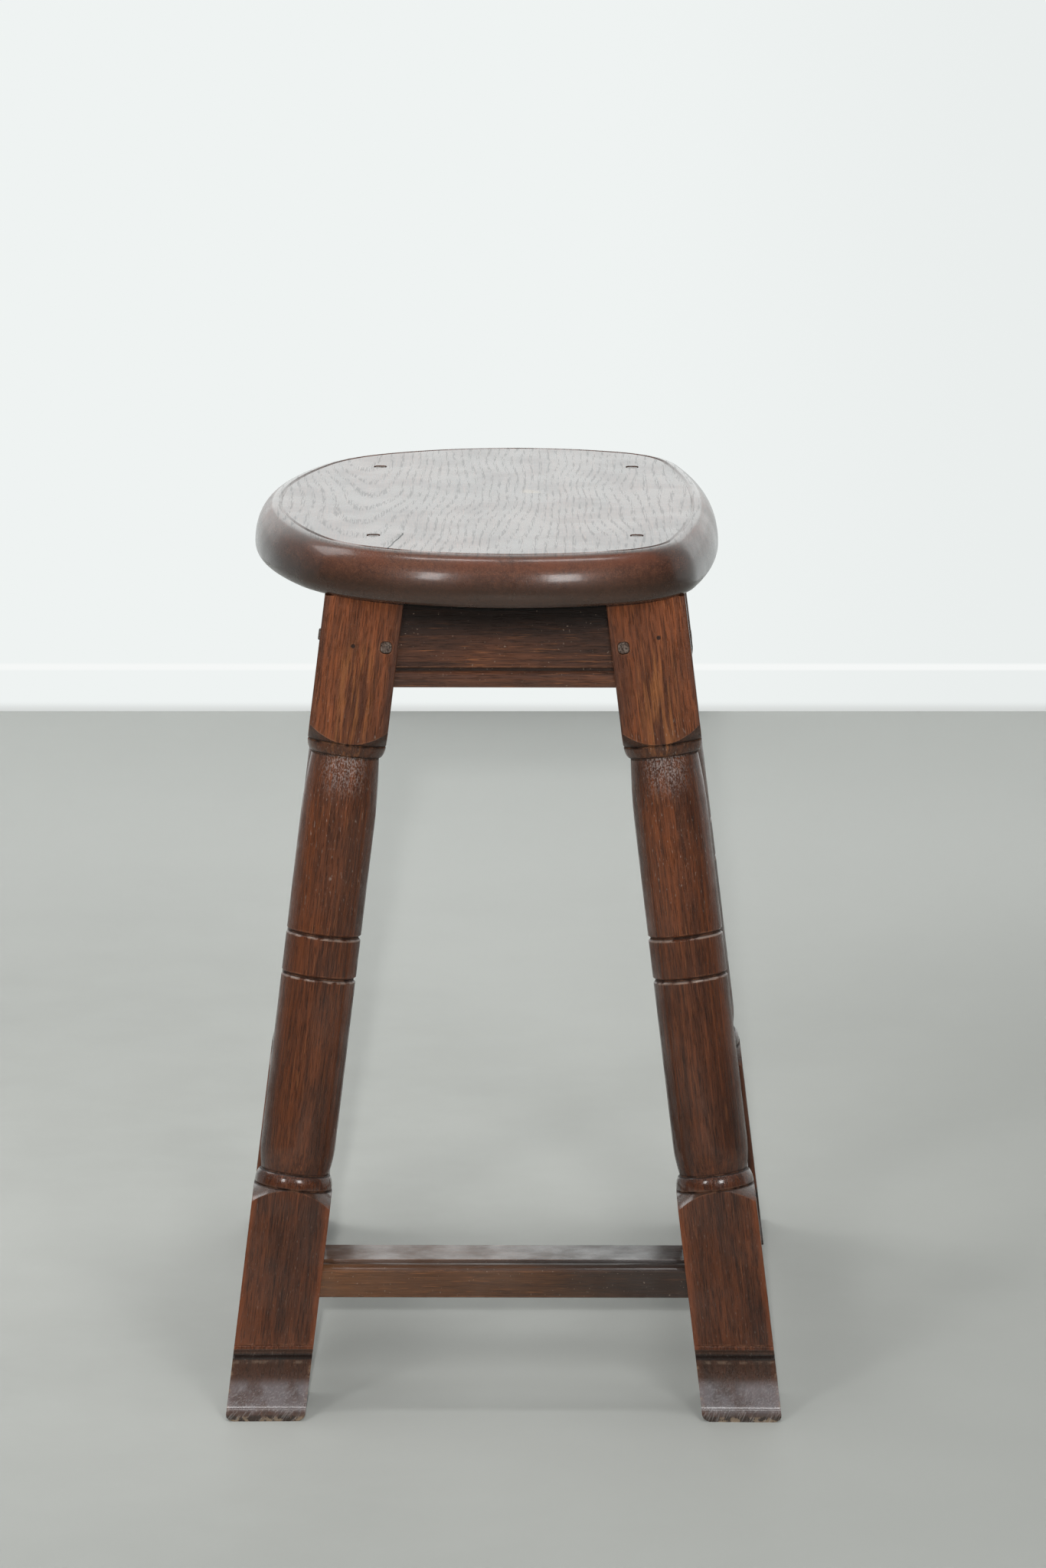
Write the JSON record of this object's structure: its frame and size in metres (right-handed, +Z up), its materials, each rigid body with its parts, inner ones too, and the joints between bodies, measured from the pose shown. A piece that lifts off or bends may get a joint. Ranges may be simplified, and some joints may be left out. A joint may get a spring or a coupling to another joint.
{
  "type": "stool",
  "caption": "Period oak joint stool: thick rounded seat with an incised line, splayed turned legs on moulded feet, beaded pegged rails and low flat stretchers.",
  "frame": {"origin": "on the floor under the centre of the four feet", "axes": "+Z up, +Y from the pictured end of the stool to the far end, +X to the right of that end"},
  "size_m": [0.3652, 0.4774, 0.569],
  "materials": {
    "seat_oak": "waxed, worn satin",
    "frame_oak": "dark stained, satin wax",
    "peg_oak": "dark stained, dull"
  },
  "bodies": {
    "root": {"seat_top": "seat_oak", "leg_front_left": "frame_oak", "leg_front_right": "frame_oak", "leg_rear_left": "frame_oak", "leg_rear_right": "frame_oak", "rail_front": "frame_oak", "rail_rear": "frame_oak", "rail_left": "frame_oak", "rail_right": "frame_oak", "stretcher_front": "frame_oak", "stretcher_left": "frame_oak", "stretcher_right": "frame_oak", "pegs_end_rails": "peg_oak", "pegs_side_rails": "peg_oak", "pegs_seat": "peg_oak"}
  },
  "joints": []
}
